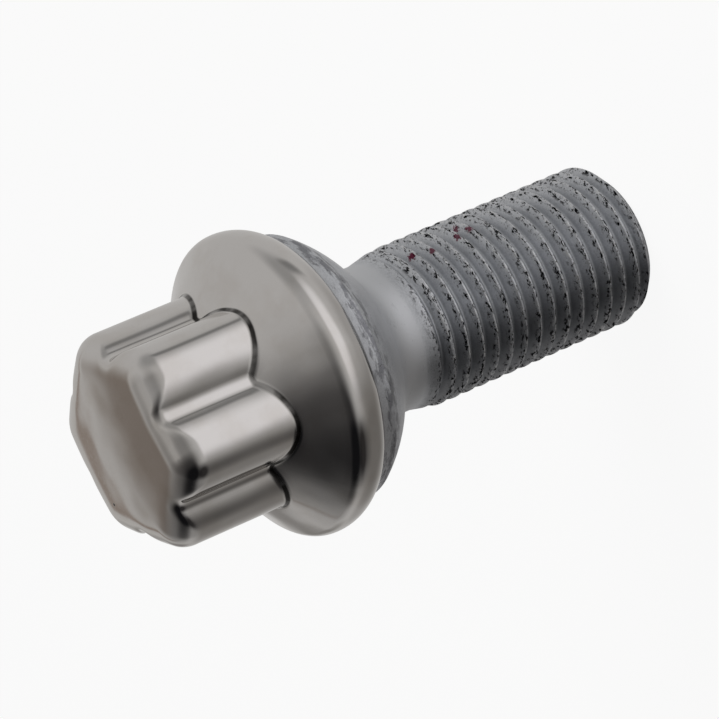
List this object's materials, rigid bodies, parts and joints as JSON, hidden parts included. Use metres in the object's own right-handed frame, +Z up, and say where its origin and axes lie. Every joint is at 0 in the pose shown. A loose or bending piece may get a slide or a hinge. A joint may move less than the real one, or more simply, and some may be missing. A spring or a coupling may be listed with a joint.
{
  "type": "wheel bolt",
  "caption": "Wheel bolt with a grooved hexagon drive under a bright pressed cap, a flange, a ball seat collar, a plain neck and a threaded shank; it clamps a road wheel to its hub.",
  "frame": {"origin": "centre of the flat face of the threaded tip, which the bolt stands on", "axes": "+Z up along the bolt's axis, from the tip to the head; a corner of the hexagon drive lies on +X and one on -X, and a grooved flat faces +Y and one -Y"},
  "size_m": [0.0264, 0.0264, 0.0506],
  "materials": {
    "flake_coated_steel": "grey flake coating, dull, with dark flecks along the worn thread crests",
    "bright_cap": "polished nickel-bright pressed sheet"
  },
  "bodies": {
    "root": {"bolt": "flake_coated_steel", "head_cap": "bright_cap"}
  },
  "joints": []
}
